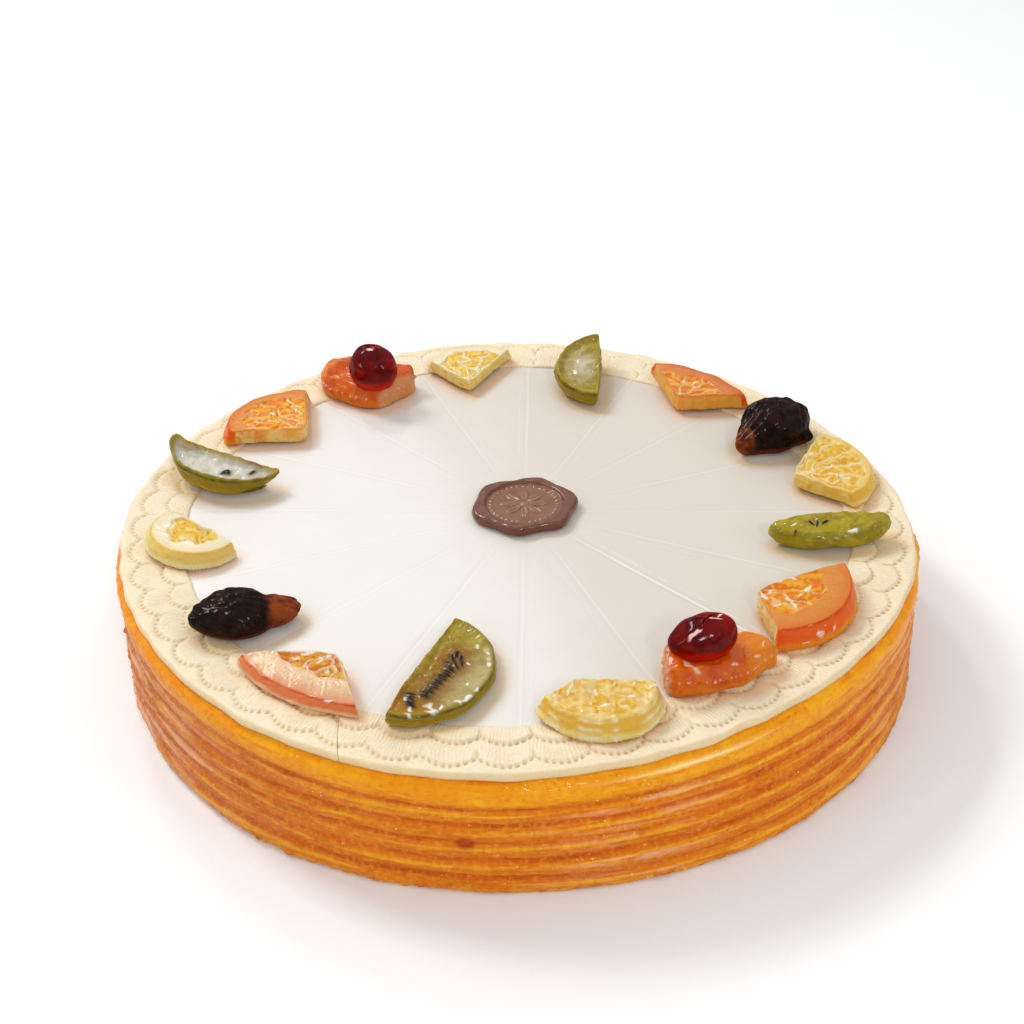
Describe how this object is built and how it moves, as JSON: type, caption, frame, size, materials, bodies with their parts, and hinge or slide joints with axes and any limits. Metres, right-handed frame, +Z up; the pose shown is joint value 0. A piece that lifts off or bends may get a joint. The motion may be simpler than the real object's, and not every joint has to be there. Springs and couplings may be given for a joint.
{
  "type": "marzipan cake",
  "caption": "Round layered cake with a glazed ridged side, white icing inside a crimped marzipan ring, candied fruit portions and a chocolate seal.",
  "frame": {"origin": "on the surface the cake stands on, under the middle of the marzipan ring", "axes": "+Z up, -Y towards the front of the cake, +X to the right"},
  "size_m": [0.264, 0.2647, 0.0636],
  "materials": {
    "glazed_cake": "baked golden brown crust with a thin clear glaze, glossy and ridged",
    "marzipan": "matt cream almond paste, finely ribbed",
    "icing": "smooth white fondant with a soft sheen",
    "chocolate": "milk chocolate, satin",
    "candied_kiwi": "translucent olive green candied fruit, sticky gloss",
    "candied_orange": "translucent amber candied fruit with pale pith, sticky gloss",
    "candied_lemon": "translucent pale yellow candied fruit, sticky gloss",
    "candied_plum": "nearly black wrinkled candied fruit, sticky gloss",
    "candied_melon": "translucent orange candied fruit, sticky gloss",
    "candied_cherry": "dark red candied cherry, high gloss"
  },
  "bodies": {
    "root": {"cake_body": "glazed_cake", "marzipan_ring": "marzipan", "icing": "icing", "chocolate_seal": "chocolate", "kiwi_front": "candied_kiwi", "kiwi_back": "candied_kiwi", "kiwi_right": "candied_kiwi", "kiwi_left": "candied_kiwi", "orange_front": "candied_orange", "orange_right": "candied_orange", "orange_back": "candied_orange", "orange_left": "candied_orange", "lemon_front": "candied_lemon", "lemon_left": "candied_lemon", "lemon_right": "candied_lemon", "lemon_back": "candied_lemon", "plum_left": "candied_plum", "plum_back": "candied_plum", "fruit_block_front": "candied_melon", "cherry_front": "candied_cherry", "fruit_block_back": "candied_melon", "cherry_back": "candied_cherry"}
  },
  "joints": []
}
